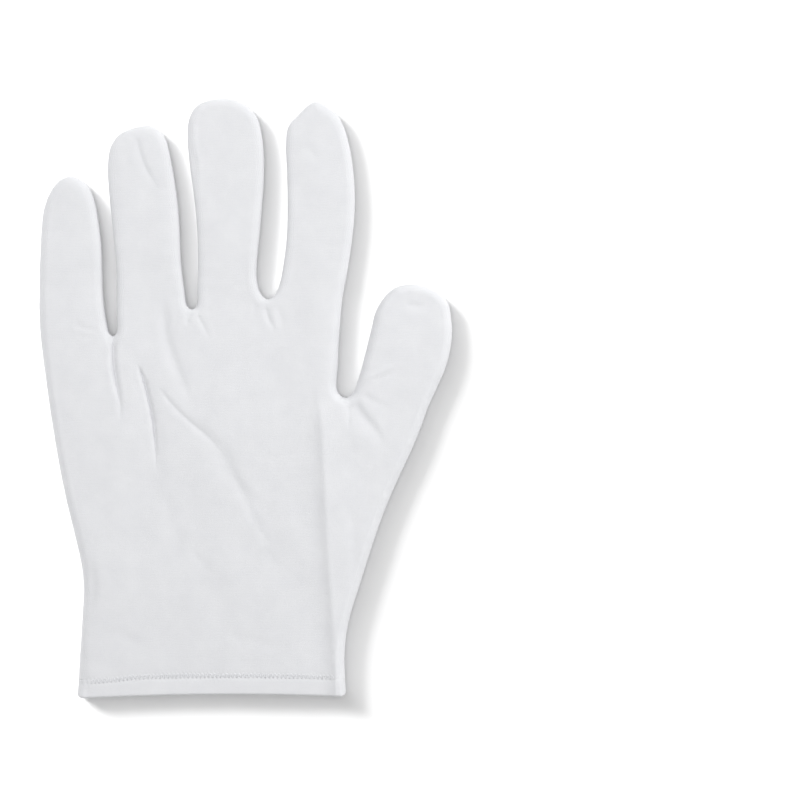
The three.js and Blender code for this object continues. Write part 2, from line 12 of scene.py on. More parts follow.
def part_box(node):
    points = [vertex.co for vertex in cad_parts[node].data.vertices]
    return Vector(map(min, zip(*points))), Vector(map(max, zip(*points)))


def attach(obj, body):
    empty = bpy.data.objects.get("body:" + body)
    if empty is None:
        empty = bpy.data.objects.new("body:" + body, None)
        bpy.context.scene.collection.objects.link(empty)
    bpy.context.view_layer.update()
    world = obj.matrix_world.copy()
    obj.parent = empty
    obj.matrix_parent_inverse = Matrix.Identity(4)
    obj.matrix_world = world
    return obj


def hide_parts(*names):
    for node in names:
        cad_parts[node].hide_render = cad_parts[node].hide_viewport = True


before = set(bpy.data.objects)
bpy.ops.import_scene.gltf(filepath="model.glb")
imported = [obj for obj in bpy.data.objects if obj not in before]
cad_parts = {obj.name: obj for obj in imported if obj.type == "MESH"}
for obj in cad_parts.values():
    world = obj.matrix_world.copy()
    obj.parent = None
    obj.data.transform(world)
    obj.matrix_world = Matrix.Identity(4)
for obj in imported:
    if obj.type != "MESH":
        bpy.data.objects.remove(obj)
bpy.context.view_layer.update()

bpy.ops.object.select_all(action="DESELECT")
MM = 0.001


# Studio
# A plain white table under the glove and large soft lamps. The camera looks straight down, over the
# middle of the picture that the glove was seen in, which lies to the thumb's side of the glove.
PICTURE_PIXELS = 800
PIXEL = 0.385 * MM
PICTURE_MIDDLE = (59.2 * MM, -0.7 * MM)
CAMERA_LENS = 150.0
SENSOR = 36.0

scene = bpy.context.scene
scene.view_settings.view_transform = "Standard"
scene.view_settings.look = "None"
scene.view_settings.exposure = 0.0

camera_height = PICTURE_PIXELS * PIXEL * CAMERA_LENS / SENSOR
bpy.ops.object.camera_add(location=(*PICTURE_MIDDLE, camera_height), rotation=(0, 0, 0))
camera = bpy.context.object
camera.data.lens = CAMERA_LENS
camera.data.sensor_width = SENSOR
camera.data.clip_start = 0.01
camera.data.clip_end = 20
scene.camera = camera

TABLE_SIZE = 6
TABLE_DROP = 0.05 * MM
bpy.ops.mesh.primitive_plane_add(size=TABLE_SIZE, location=(0, 0, -TABLE_DROP))
table = bpy.context.object
table.name = "table"
table_paint = bpy.data.materials.new("table_white")
table_paint.use_nodes = True
table_shader = table_paint.node_tree.nodes["Principled BSDF"]
table_shader.inputs["Base Color"].default_value = (0.93, 0.93, 0.93, 1)
table_shader.inputs["Roughness"].default_value = 0.9
table_shader.inputs["Specular IOR Level"].default_value = 0.1
table.data.materials.append(table_paint)

LAMPS = [
    # name, place in metres, size, watts, and what it lights
    ("lamp_right", (1.0, 0.4, 0.5), 0.7, 6.2, "cloth"),
    ("lamp_overhead", (0.1, 0.5, 1.9), 1.6, 16.8, "cloth"),
    ("lamp_upper_left", (-0.9, 0.9, 1.5), 0.9, 9.0, "all"),
    ("lamp_table", (-2.0, 1.55, 1.5), 0.95, 96.0, "table"),
    ("lamp_table_fill", (0.06, 0.0, 2.2), 1.4, 14.0, "table"),
]
cloth_lit = bpy.data.collections.new("cloth_lit")
table_lit = bpy.data.collections.new("table_lit")
table_lit.objects.link(table)
for name, place, size, watts, lit in LAMPS:
    bpy.ops.object.light_add(type="AREA", location=place)
    lamp = bpy.context.object
    lamp.name = name
    lamp.data.size = size
    lamp.data.energy = watts
    lamp.visible_camera = False
    aim = Vector((0, 0, 0)) - Vector(place)
    lamp.rotation_euler = aim.to_track_quat("-Z", "Y").to_euler()
    if lit == "cloth":
        lamp.light_linking.receiver_collection = cloth_lit
    if lit == "table":
        lamp.light_linking.receiver_collection = table_lit

ROOM_LIGHT = 0.35
world = bpy.data.worlds.new("room")
scene.world = world
world.use_nodes = True
world.node_tree.nodes["Background"].inputs["Color"].default_value = (1, 1, 1, 1)
world.node_tree.nodes["Background"].inputs["Strength"].default_value = ROOM_LIGHT


# Upper panel
# One piece of thin white cotton jersey, cut in the shape of the hand with four fingers and the thumb.
# It is sewn inside out to the side strips and the lower panel and turned, so its edge rolls over
# and tucks into a fine groove. Its outline is read from the solid that it replaces.
HEM_MARGIN = 1.5 * MM
PROBE = 0.04 * MM


def seam_outline(node, step):
    """The sewn outline of a panel from above, from the hem's thumb side over the tips, as a curve."""
    solid = bmesh.new()
    solid.from_mesh(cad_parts[node].data)
    bmesh.ops.remove_doubles(solid, verts=solid.verts, dist=1e-6)
    shell = BVHTree.FromBMesh(solid)
    hem_line = min(vert.co.y for vert in solid.verts) + HEM_MARGIN

    def is_covered(spot):
        return shell.ray_cast(Vector((spot.x, spot.y, -1)), Vector((0, 0, 1)))[0] is not None

    neighbours = {}
    for edge in solid.edges:
        first, second = edge.verts
        at_hem = first.co.y < hem_line and second.co.y < hem_line
        if at_hem:
            continue
        middle = (first.co + second.co) / 2
        aside = Vector((first.co.y - second.co.y, second.co.x - first.co.x, 0)).normalized() * PROBE
        if is_covered(middle + aside) != is_covered(middle - aside):
            neighbours.setdefault(first, []).append(second)
            neighbours.setdefault(second, []).append(first)
    ends = [vert for vert, near in neighbours.items() if len(near) == 1]
    chain = [max(ends, key=lambda vert: vert.co.x)]
    for _ in range(len(neighbours)):
        onward = [vert for vert in neighbours[chain[-1]] if vert not in chain[-2:]]
        if not onward:
            break
        chain.append(onward[0])
    stops = np.array([vert.co.xy for vert in chain])
    solid.free()
    return even_steps(round_curve(stops), step)


def round_curve(stops, parts=24):
    """A smooth curve through the given stops."""
    padded = np.vstack([2 * stops[0] - stops[1], stops, 2 * stops[-1] - stops[-2]])
    curve = []
    for i in range(1, len(padded) - 2):
        p0, p1, p2, p3 = padded[i - 1 : i + 3]
        t0 = 0.0
        t1 = t0 + np.linalg.norm(p1 - p0) ** 0.5
        t2 = t1 + np.linalg.norm(p2 - p1) ** 0.5
        t3 = t2 + np.linalg.norm(p3 - p2) ** 0.5
        t = np.linspace(t1, t2, parts, endpoint=False)[:, None]
        a1 = (t1 - t) / (t1 - t0) * p0 + (t - t0) / (t1 - t0) * p1
        a2 = (t2 - t) / (t2 - t1) * p1 + (t - t1) / (t2 - t1) * p2
        a3 = (t3 - t) / (t3 - t2) * p2 + (t - t2) / (t3 - t2) * p3
        b1 = (t2 - t) / (t2 - t0) * a1 + (t - t0) / (t2 - t0) * a2
        b2 = (t3 - t) / (t3 - t1) * a2 + (t - t1) / (t3 - t1) * a3
        curve.append((t2 - t) / (t2 - t1) * b1 + (t - t1) / (t2 - t1) * b2)
    return np.vstack([*curve, padded[-2]])


def even_steps(curve, step):
    """The same curve with points at even distances."""
    along = np.concatenate([[0], np.cumsum(np.linalg.norm(np.diff(curve, axis=0), axis=1))])
    count = max(2, round(along[-1] / step))
    places = np.linspace(0, along[-1], count + 1)
    return np.stack([np.interp(places, along, curve[:, k]) for k in (0, 1)], axis=1)


def soften(values, sigma):
    """Evens out a row of values with a bell of this many steps, both ends kept."""
    reach = int(4 * sigma)
    bell = np.exp(-0.5 * (np.arange(-reach, reach + 1) / sigma) ** 2)
    bell /= bell.sum()
    columns = values if values.ndim == 2 else values[:, None]
    padded = np.pad(columns, ((reach, reach), (0, 0)), mode="reflect", reflect_type="odd")
    evened = np.stack([np.convolve(column, bell, mode="valid") for column in padded.T], axis=1)
    return evened if values.ndim == 2 else evened[:, 0]


OUTLINE_STEP = 0.4 * MM
OUTLINE_SOFTNESS = 2.2
outline = soften(seam_outline("back_panel", OUTLINE_STEP), OUTLINE_SOFTNESS)
outline_along = np.arange(len(outline)) * OUTLINE_STEP
tangent = np.gradient(outline, axis=0)
tangent /= np.linalg.norm(tangent, axis=1)[:, None]
inward = np.stack([-tangent[:, 1], tangent[:, 0]], axis=1)
outline_tree = KDTree(len(outline))
for i, place in enumerate(outline):
    outline_tree.insert((*place, 0), i)
outline_tree.balance()

# Height of half the strip between the two panels all along the outline, from the strips' solids.
# Lengths along the outline are in its steps.
STRIP_SOFTNESS = 7
STRIP_TRIM = 4
STRIPS = ["fourchette_little_ring", "fourchette_ring_middle", "fourchette_middle_index"]
seam_z = sum(corner.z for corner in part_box(STRIPS[0])) / 2
strip_half = np.zeros(len(outline))
strip_reach = {}
for strip in STRIPS:
    tops = [v.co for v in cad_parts[strip].data.vertices if v.co.z > seam_z + 0.05 * MM]
    marks = sorted((outline_tree.find((p.x, p.y, 0))[1], p.z - seam_z) for p in tops)
    steps, heights = np.array(marks).T
    inside = np.arange(len(outline))
    reach = (inside >= steps[0]) & (inside <= steps[-1])
    strip_half[reach] = np.interp(inside[reach], steps, heights)
    strip_reach[strip] = (int(steps[0]) + STRIP_TRIM, int(steps[-1]) - STRIP_TRIM)


def smooth(value, low, high):
    """Rises from 0 at low to 1 at high, with soft ends."""
    share = np.clip((value - low) / (high - low), 0, 1)
    return share * share * (3 - 2 * share)


# The strips run out to nothing at the fingertips, where the two panels meet
STRIP_RUN_OUT = 14
inside = np.arange(len(outline))
run_out = np.zeros(len(outline))
for first, last in strip_reach.values():
    begin = smooth(inside, first, first + STRIP_RUN_OUT)
    run_out += begin * (1 - smooth(inside, last - STRIP_RUN_OUT, last))
strip_half = np.clip(soften(strip_half, STRIP_SOFTNESS), 0, None) * run_out


# Shares of the spacing: from row to row of the net, and least from a net point to a ring or a seed
NET_ROW = 0.87
RING_GAP = 0.55
SEED_GAP = 0.6


def scatter_cloth(spacing, ring_distances, seeds=()):
    """Flat cloth cut to the outline: rings that follow the seam, then an even net of points."""
    rings = []
    every = max(1, round(spacing / OUTLINE_STEP))
    kept = np.unique(np.append(np.arange(0, len(outline), every), len(outline) - 1))
    for distance in ring_distances:
        ring = outline[kept] + inward[kept] * distance
        if distance > 0:
            near = np.array([outline_tree.find((*p, 0))[2] for p in ring])
            ring = ring[near > distance - 0.03 * MM]
            ring = ring[ring[:, 1] > outline[:, 1].min() + 0.3 * spacing]
        rings.append(ring)
    low, high = outline.min(0), outline.max(0)
    xs = np.arange(low[0], high[0], spacing)
    ys = np.arange(low[1] + spacing * NET_ROW, high[1], spacing * NET_ROW)
    net = np.array([(x + spacing / 2 * (j % 2), y) for j, y in enumerate(ys) for x in xs])
    found = [outline_tree.find((*p, 0)) for p in net]
    distances = np.array([f[2] for f in found])
    sides = np.array([np.dot(p - outline[f[1]], inward[f[1]]) for p, f in zip(net, found)])
    keep = (sides > 0) & (distances > ring_distances[-1] + RING_GAP * spacing)
    net = net[keep]
    if seeds:
        seeds = np.vstack(seeds)
        seeds = seeds[[outline_tree.find((*p, 0))[2] > ring_distances[-1] for p in seeds]]
        tree = KDTree(len(seeds))
        for i, p in enumerate(seeds):
            tree.insert((*p, 0), i)
        tree.balance()
        net = net[[tree.find((*p, 0))[2] > SEED_GAP * spacing for p in net]]
        rings.append(seeds)
    start, end = outline[0], outline[-1]
    hem_count = max(2, round(np.linalg.norm(start - end) / OUTLINE_STEP))
    hem_shares = np.linspace(0, 1, hem_count + 1)[1:-1, None]
    hem_line = end + (start - end) * hem_shares
    hem_line[:, 1] += hem_rise(hem_line[:, 0])
    border = np.vstack([rings[0], hem_line])
    edges = [(i, (i + 1) % len(border)) for i in range(len(border))]
    points = np.vstack([border, *rings[1:], net])
    flat = [Vector(p / MM) for p in points]
    verts, _, faces, *_ = delaunay_2d_cdt(flat, edges, [], 1, 1e-5)
    return np.array([v[:] for v in verts]) * MM, faces


HEM_BOW = 1.2 * MM


def hem_rise(x):
    """How far the stitch line bows up over the straight line between the cuff's corners."""
    left, right = outline[-1][0], outline[0][0]
    share = (np.asarray(x) - left) / (right - left)
    return 4 * HEM_BOW * share * (1 - share)


def measure_seam(points):
    """For each point its distance to the seam, the nearest seam point and its number."""
    numbers = np.empty(len(points), int)
    distances = np.empty(len(points))
    for i, p in enumerate(points):
        _, numbers[i], distances[i] = outline_tree.find((*p, 0))
    return distances, numbers


ROLL = 3.0 * MM
CROWN = 13 * MM
CROWN_SHARE = 0.16
TUCK = 0.45 * MM
TUCK_RISE = 0.55 * MM
TUCK_ANGLE = math.radians(42)


def rolled_profile(distances, seam_height, far_height):
    """Inset and height of cloth at these distances from its seam: out of the groove, then over."""
    share = np.clip(distances / ROLL, 0, 1)
    angle = -TUCK_ANGLE + (math.pi / 2 + TUCK_ANGLE) * share
    over = angle > 0
    rise = TUCK_RISE * np.sign(far_height - seam_height)
    widest = seam_height + rise
    tucked = TUCK * (1 - np.cos(angle)) / (1 - math.cos(TUCK_ANGLE))
    inset = np.where(over, ROLL * (1 - np.cos(angle)), tucked)
    inset = np.where(share < 1, inset, distances)
    crown = np.sqrt(1 - (1 - np.clip(distances / CROWN, 0, 1)) ** 2)
    lift = (1 - CROWN_SHARE) * np.sin(np.maximum(angle, 0)) + CROWN_SHARE * crown * over
    under = widest + rise * np.sin(np.minimum(angle, 0)) / math.sin(TUCK_ANGLE)
    return inset, np.where(over, widest + (far_height - widest) * lift, under)


def roll_edge(points, distances, numbers, seam_height, far_height):
    """Rolls the cloth over at its seam: from the groove outward, then over to far_height."""
    inset, height = rolled_profile(distances, seam_height, far_height)
    rolled = points.copy()
    near = distances < ROLL
    rolled[near] = outline[numbers[near]] + inward[numbers[near]] * inset[near][:, None]
    return rolled, height


# Thickness of the lying glove over its length, close to that of the solids: share of PALM_LENGTH up
# from the cuff, and millimetres
CUFF_Y = outline[0][1]
PALM_LENGTH = 133 * MM
DEPTHS = [(0.0, 8.2), (0.25, 8.8), (0.45, 9.0), (0.7, 9.0), (0.95, 8.2), (1.1, 7.5), (1.25, 7.2), (1.7, 6.7)]


def glove_depth(points):
    up = (points[:, 1] - CUFF_Y) / PALM_LENGTH
    shares, heights = np.array(DEPTHS).T
    return np.interp(up, shares, heights) * MM


# Folds of the upper panel. Each path is in millimetres from the middle of the cuff's edge, right and up.
# deep is in millimetres, minus for a ridge, and wide is half its width on the left and on the right of
# its path. lip is the height of the soft swelling beside a crease.
CUFF_MIDDLE = np.array([-12.99, -115.0]) * MM
FOLDS = [
    # crease under the little finger's crotch
    dict(path=[(-37.4, 139.5), (-37.6, 130), (-36.3, 120.2), (-35, 113.6), (-34.6, 105)], deep=1.5,
         wide=(0.7, 0.9), lip=0.06, ends=(0.05, 0.6)),
    # crease down the palm, with its soft slopes and its faint end
    dict(path=[(-28.6, 128.5), (-26.4, 123.5), (-23.9, 114.2), (-22.2, 105.7), (-21.3, 93.8), (-21.2, 87)],
         deep=1.15, wide=(0.45, 0.65), lip=0.06, ends=(0.15, 0.4)),
    dict(path=[(-29.5, 131), (-25, 119), (-21.8, 104), (-20.6, 90), (-22, 78), (-26, 68)], deep=0.42,
         wide=(2.2, 4.0), lip=0.0),
    # long valley over the palm
    dict(path=[(-21, 120.5), (-14.6, 112.1), (-7, 104.9), (-0.2, 99), (4.9, 92.2)], deep=0.3,
         wide=(0.8, 1.0), lip=0.03),
    dict(path=[(-12, 110), (-0.2, 99), (4.9, 92.2), (9.1, 83.7), (13.4, 77.8), (19.3, 72.7), (25, 64)],
         deep=0.42, wide=(2.3, 3.6), lip=0.05),
    # valley up the ring finger
    dict(path=[(-18.4, 156), (-18, 147), (-17.1, 138), (-14.6, 130.5), (-11.6, 122.6), (-7.8, 113.3),
               (-4.5, 108)], deep=0.56, wide=(1.6, 2.6), lip=0.04),
    # gathers under the crotch of ring and middle finger
    dict(path=[(-8.8, 148.6), (-9.2, 145.5), (-9.4, 142)], deep=0.4, wide=(0.7, 0.7), lip=0.05),
    dict(path=[(-6.2, 148.2), (-3.0, 142.4), (-0.8, 137)], deep=0.26, wide=(0.8, 0.9), lip=0.05),
    dict(path=[(-11.6, 148.2), (-14.2, 143), (-15.2, 138)], deep=0.2, wide=(0.8, 0.8), lip=0.04),
    dict(path=[(-5.5, 149.4), (1.6, 148)], deep=0.16, wide=(0.7, 0.7), lip=0.03),
    # gathers under the crotch of middle and index finger
    dict(path=[(20.8, 151.4), (22.0, 145.4), (25.3, 139.6)], deep=0.42, wide=(0.8, 1.0), lip=0.05),
    dict(path=[(25.4, 150.8), (28.4, 137.5)], deep=0.17, wide=(1.1, 1.3), lip=0.04),
    dict(path=[(17.4, 151.6), (15.4, 144.5)], deep=0.2, wide=(0.8, 0.8), lip=0.03),
    # gathers at the thumb's crotch
    dict(path=[(52.2, 114.4), (52.6, 108), (52.5, 102.5)], deep=0.26, wide=(0.8, 0.8), lip=0.04),
    dict(path=[(54.3, 114), (57.2, 109.7), (61, 105.1), (64.1, 100.5), (66.4, 94)], deep=0.55,
         wide=(1.2, 2.8), lip=0.12, ends=(0.1, 0.55)),
    dict(path=[(56, 118), (63, 113.4), (71, 110.6)], deep=0.18, wide=(1.0, 1.2), lip=0.03),
    # wrinkle over the thumb
    dict(path=[(57, 121.7), (66.2, 125.5), (72.4, 129.4)], deep=-0.3, wide=(1.2, 1.3), lip=0),
    dict(path=[(60, 121.4), (69.2, 124.6), (75, 127.5)], deep=0.22, wide=(1.2, 1.2), lip=0),
    dict(path=[(73.6, 151.4), (78.5, 150.2), (84, 151.4)], deep=0.3, wide=(1.3, 1.5), lip=0.03),
    # creases near the tips of ring, index and middle finger
    dict(path=[(-29, 217), (-27.6, 210), (-25.6, 204), (-22.6, 198.6), (-19, 193)], deep=0.36,
         wide=(0.8, 1.5), lip=0.04),
    dict(path=[(36, 213), (38.6, 208.4), (41, 203.5)], deep=0.17, wide=(1.7, 2.2), lip=0.02),
    dict(path=[(-7.5, 225.5), (-7.2, 212.7), (-6.0, 205.7), (-5.35, 197.3), (-4.8, 189)], deep=0.42,
         wide=(0.42, 0.5), lip=0.12),
    # pull from the little finger's crotch to the outer edge
    dict(path=[(-53.5, 143.6), (-46.8, 141.2), (-41, 140.4)], deep=0.16, wide=(1.0, 1.1), lip=0.03),
    dict(path=[(-52, 139), (-46, 138.2), (-41.5, 138.6)], deep=0.12, wide=(0.9, 0.9), lip=0.02),
    # pressed ridge from the thumb's crotch down to the cuff: a long slope on its left, a short one right
    dict(path=[(40.6, 124), (41, 115), (42.4, 102), (43.5, 76), (45.2, 47), (46.5, 29), (47.4, 10),
               (47.6, -4)], deep=-1.45, wide=(8.5, 2.4), lip=0, ends=(0.2, 0.04), power=1.15),
    dict(path=[(53.5, 76), (54.3, 60), (54.4, 50), (53.2, 34)], deep=0.32, wide=(2.2, 1.6), lip=0),
    # pressed line at the wrist, along the outer edge
    dict(path=[(-46.4, 56), (-45.2, 45), (-45.6, 38.5), (-47.6, 32), (-49.3, 21), (-48.6, 0)], deep=0.6,
         wide=(1.6, 3.4), lip=0.04, ends=(0.2, 0.1)),
    # faint pulls across the palm and the heel of the hand
    dict(path=[(6.7, 90), (16, 70), (27, 49)], deep=0.2, wide=(1.5, 1.7), lip=0.03),
    dict(path=[(19.1, 58), (27.6, 47.4)], deep=0.12, wide=(1.6, 1.8), lip=0.02),
    dict(path=[(-9, 58), (2, 45.4)], deep=0.14, wide=(1.8, 2.2), lip=0.02),
    dict(path=[(-19, 82), (-15, 66), (-9.5, 50)], deep=0.2, wide=(2.5, 3.0), lip=0),
    dict(path=[(4, 25), (18, 21.6), (33, 19)], deep=0.16, wide=(2.2, 2.6), lip=0),
    dict(path=[(-41, 26.5), (-31, 22.5), (-22, 17.5)], deep=0.18, wide=(2.3, 2.6), lip=0),
]
CREASE_STEP = 0.5 * MM


def fold_curve(fold):
    return even_steps(round_curve(CUFF_MIDDLE + np.array(fold["path"]) * MM), CREASE_STEP)


def fold_heights(points, folds):
    """Sum of the folds' heights at each point."""
    total = np.zeros(len(points))
    for fold in folds:
        curve = fold_curve(fold)
        left, right = (w * MM for w in fold["wide"])
        reach = 6 * max(left, right)
        near = np.flatnonzero(
            (points > curve.min(0) - reach).all(axis=1) & (points < curve.max(0) + reach).all(axis=1)
        )
        start, way = curve[:-1], np.diff(curve, axis=0)
        length = np.linalg.norm(way, axis=1)
        offset = points[near][:, None, :] - start[None]
        t = (offset * way).sum(2) / length**2
        inner = np.clip(t, 0, 1)
        gap = np.linalg.norm(offset - inner[..., None] * way[None], axis=2)
        best = gap.argmin(axis=1)
        rows = np.arange(len(near))
        side = way[best, 0] * offset[rows, best, 1] - way[best, 1] * offset[rows, best, 0]
        along = (best + inner[rows, best]) / len(way)
        away = gap[rows, best]
        wide = np.where(side > 0, left, right)
        begin, stop = fold.get("ends", (0.22, 0.5))
        fade = smooth(along, 0, begin) * (1 - smooth(along, 1 - stop, 1.0))
        dip = -fold["deep"] * np.exp(-((away / wide) ** fold.get("power", 2)))
        lip = fold["lip"] * np.exp(-(((away - 2.3 * wide) / (1.3 * wide)) ** 2))
        total[near] += MM * fade * (dip + lip)
    return total


# Unevenness of the lying cloth: height, and its usual length across and along the hand, in
# millimetres, with the place in the noise that it is read from
RUMPLES = [(0.55, 34, 46, 1.7), (0.28, 11, 17, 5.1), (0.05, 3.6, 5.2, 9.4)]
PUCKER_HEIGHT = 0.28
PUCKER_LENGTH = 1.9
PUCKER_REACH = 2.6 * MM


def rumple(points, distances, numbers):
    """Soft unevenness of lying jersey, and puckers that the seam draws along the edge."""
    heights = np.zeros(len(points))
    for high, across, along, place in RUMPLES:
        spots = points / MM / (across, along)
        heights += high * np.array([noise.noise(Vector((x, y, place))) for x, y in spots])
    heights *= smooth(distances, 0, 5 * MM)
    along = outline_along[numbers] / MM
    pucker = np.array([noise.noise(Vector((a / PUCKER_LENGTH, 0, 3.3))) for a in along])
    near_seam = np.exp(-distances / PUCKER_REACH) * smooth(distances, 0.2 * MM, 1.2 * MM)
    heights += PUCKER_HEIGHT * pucker * near_seam
    return heights * MM


STITCH_PITCH = 1.55 * MM
STITCH_RISE = 2.1 * MM
STITCH_DENT = 0.085 * MM
STITCH_LINE = 0.07 * MM
HEM_HEIGHT = 6.6 * MM
HEM_GAP = 0.3 * MM
cuff_low, cuff_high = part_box("cuff_hem")
cuff_left, cuff_right = cuff_low.x, cuff_high.x


def cuff_edge(x):
    """Where the lower edge of the cuff lies at each x: it bows up a little and slants."""
    share = (np.asarray(x) - cuff_left) / (cuff_right - cuff_left)
    corner = outline[-1][1] + (outline[0][1] - outline[-1][1]) * share
    return corner - HEM_GAP - HEM_HEIGHT + hem_rise(x)


STITCH_HEIGHT = 5.3 * MM
STITCH_CLIMB = 0.9 * MM


def stitch_row(x):
    """Height of the zigzag's lower ends above the cuff's edge: it starts lower at the outer side."""
    return STITCH_HEIGHT + STITCH_CLIMB * smooth(x, cuff_left + 9 * MM, cuff_left + 24 * MM)


def hem_dent(x, y):
    """How deep the stitches draw the cloth in along the hem."""
    up = y - cuff_edge(x)
    over = up - stitch_row(x)
    line = STITCH_LINE * np.exp(-(((over - 0.2 * MM) / (0.5 * MM)) ** 2))
    row = np.exp(-(((over - 1.0 * MM) / (1.5 * MM)) ** 2))
    tug = np.array([noise.noise(Vector((a / MM / 5.5, 4.1, 0))) for a in x])
    turn = 2 * math.pi * (x / STITCH_PITCH + 0.5 * over / STITCH_RISE)
    dents = STITCH_DENT * (1 + 0.9 * tug) * row * (1 + np.cos(turn))
    return line + dents


def sheet_object(name, places, faces, flat):
    """A mesh object from places, with the cut's flat coordinates in millimetres as its UV map."""
    mesh = bpy.data.meshes.new(name)
    mesh.from_pydata([tuple(p) for p in places], [], [tuple(f) for f in faces])
    layer = mesh.uv_layers.new(name="cut")
    corner_verts = np.empty(len(mesh.loops), int)
    mesh.loops.foreach_get("vertex_index", corner_verts)
    layer.data.foreach_set("uv", (flat[corner_verts] / MM).ravel())
    piece = bpy.data.objects.new(name, mesh)
    bpy.context.collection.objects.link(piece)
    cloth_lit.objects.link(piece)
    mesh.shade_smooth()
    return piece


def thicken(piece, wall):
    """Gives a sheet its wall, inward from its outer face."""
    bpy.ops.object.select_all(action="DESELECT")
    piece.select_set(True)
    bpy.context.view_layer.objects.active = piece
    solid = piece.modifiers.new("wall", "SOLIDIFY")
    solid.thickness = wall
    solid.offset = -1
    bpy.ops.object.modifier_apply(modifier=solid.name)
    bpy.ops.object.shade_smooth_by_angle(angle=math.radians(50))


# Cotton jersey, seen close: columns of small V-shaped stitches, matt and a little fuzzy, with painted shade
# between the loops
def knit_group():
    group = bpy.data.node_groups.new("cotton_jersey", "ShaderNodeTree")
    face = group.interface
    face.new_socket("Cut", in_out="INPUT", socket_type="NodeSocketVector")
    for label, value in [("Wale", 0.72), ("Course", 0.56), ("Relief", 1.0), ("Mottle", 1.0)]:
        socket = face.new_socket(label, in_out="INPUT", socket_type="NodeSocketFloat")
        socket.default_value = value
    face.new_socket("Height", in_out="OUTPUT", socket_type="NodeSocketFloat")
    face.new_socket("Tint", in_out="OUTPUT", socket_type="NodeSocketFloat")
    nodes, links = group.nodes, group.links
    enter = nodes.new("NodeGroupInput")
    leave = nodes.new("NodeGroupOutput")

    def math_node(kind, first, second=None, third=None):
        node = nodes.new("ShaderNodeMath")
        node.operation = kind
        for slot, value in enumerate((first, second, third)):
            if value is None:
                continue
            if isinstance(value, (int, float)):
                node.inputs[slot].default_value = value
            else:
                links.new(value, node.inputs[slot])
        return node.outputs[0]

    split = nodes.new("ShaderNodeSeparateXYZ")
    wobble = nodes.new("ShaderNodeTexNoise")
    wobble.inputs["Scale"].default_value = 0.35
    wobble.inputs["Detail"].default_value = 2
    links.new(enter.outputs["Cut"], wobble.inputs["Vector"])
    links.new(enter.outputs["Cut"], split.inputs[0])
    sway = math_node("MULTIPLY", math_node("SUBTRACT", wobble.outputs["Fac"], 0.5), 1.2)
    across = math_node("DIVIDE", math_node("ADD", split.outputs["X"], sway), enter.outputs["Wale"])
    side = math_node("ABSOLUTE", math_node("SUBTRACT", math_node("FRACT", across), 0.5))
    up = math_node("DIVIDE", math_node("ADD", split.outputs["Y"], sway), enter.outputs["Course"])
    slanted = math_node("ADD", up, math_node("MULTIPLY", side, 1.1))
    loop = math_node("SINE", math_node("MULTIPLY", slanted, 2 * math.pi))
    rib = math_node("SINE", math_node("MULTIPLY", side, 2 * math.pi))
    stitch = math_node("MULTIPLY", math_node("MULTIPLY_ADD", loop, 0.35, 0.65), rib)
    fuzz = nodes.new("ShaderNodeTexNoise")
    fuzz.inputs["Scale"].default_value = 2.6
    fuzz.inputs["Detail"].default_value = 4
    fuzz.inputs["Roughness"].default_value = 0.7
    links.new(enter.outputs["Cut"], fuzz.inputs["Vector"])
    uneven = math_node("MULTIPLY_ADD", fuzz.outputs["Fac"], 1.3, stitch)
    links.new(math_node("MULTIPLY", uneven, enter.outputs["Relief"]), leave.inputs["Height"])
    mottle = nodes.new("ShaderNodeTexNoise")
    mottle.inputs["Scale"].default_value = 0.11
    mottle.inputs["Detail"].default_value = 5
    mottle.inputs["Roughness"].default_value = 0.6
    links.new(enter.outputs["Cut"], mottle.inputs["Vector"])
    spread = math_node("SUBTRACT", mottle.outputs["Fac"], 0.5)
    # Painted shade: the cloth's colour is darker between the loops of the stitches and lighter on them, as
    # light falls on the knit.
    painted_stitch_shade = math_node("MULTIPLY", math_node("SUBTRACT", stitch, 0.5), 0.35)
    tone_and_painted_shade = math_node("ADD", math_node("MULTIPLY", spread, enter.outputs["Mottle"]), painted_stitch_shade)
    links.new(math_node("ADD", tone_and_painted_shade, 0.5), leave.inputs["Tint"])
    return group


jersey = knit_group()


def cotton(name, light, shade):
    """White cotton jersey: light is its colour on the stitches and shade the painted shade between them, the
    two also mixed at random for an uneven tone.
    """
    paint = bpy.data.materials.new(name)
    paint.use_nodes = True
    nodes, links = paint.node_tree.nodes, paint.node_tree.links
    shader = nodes["Principled BSDF"]
    shader.inputs["Roughness"].default_value = 0.92
    shader.inputs["Specular IOR Level"].default_value = 0.2
    shader.inputs["Sheen Weight"].default_value = 0.35
    shader.inputs["Sheen Roughness"].default_value = 0.6
    cut = nodes.new("ShaderNodeUVMap")
    cut.uv_map = "cut"
    knit = nodes.new("ShaderNodeGroup")
    knit.node_tree = jersey
    knit.inputs["Relief"].default_value = 1.0
    links.new(cut.outputs["UV"], knit.inputs["Cut"])
    # The colour is mixed from the two by the random tone and by the painted shade between the stitches.
    blend = nodes.new("ShaderNodeMix")
    blend.data_type = "RGBA"
    blend.inputs["A"].default_value = (*shade, 1)
    blend.inputs["B"].default_value = (*light, 1)
    links.new(knit.outputs["Tint"], blend.inputs["Factor"])
    links.new(blend.outputs["Result"], shader.inputs["Base Color"])
    bump = nodes.new("ShaderNodeBump")
    bump.inputs["Strength"].default_value = 0.45
    bump.inputs["Distance"].default_value = 0.12 * MM
    links.new(knit.outputs["Height"], bump.inputs["Height"])
    links.new(bump.outputs["Normal"], shader.inputs["Normal"])
    return paint


cotton_white = cotton("cotton_knit", (0.82, 0.825, 0.842), (0.737, 0.744, 0.768))

WALL = 0.8 * MM
SEAM_GAP = 0.05 * MM
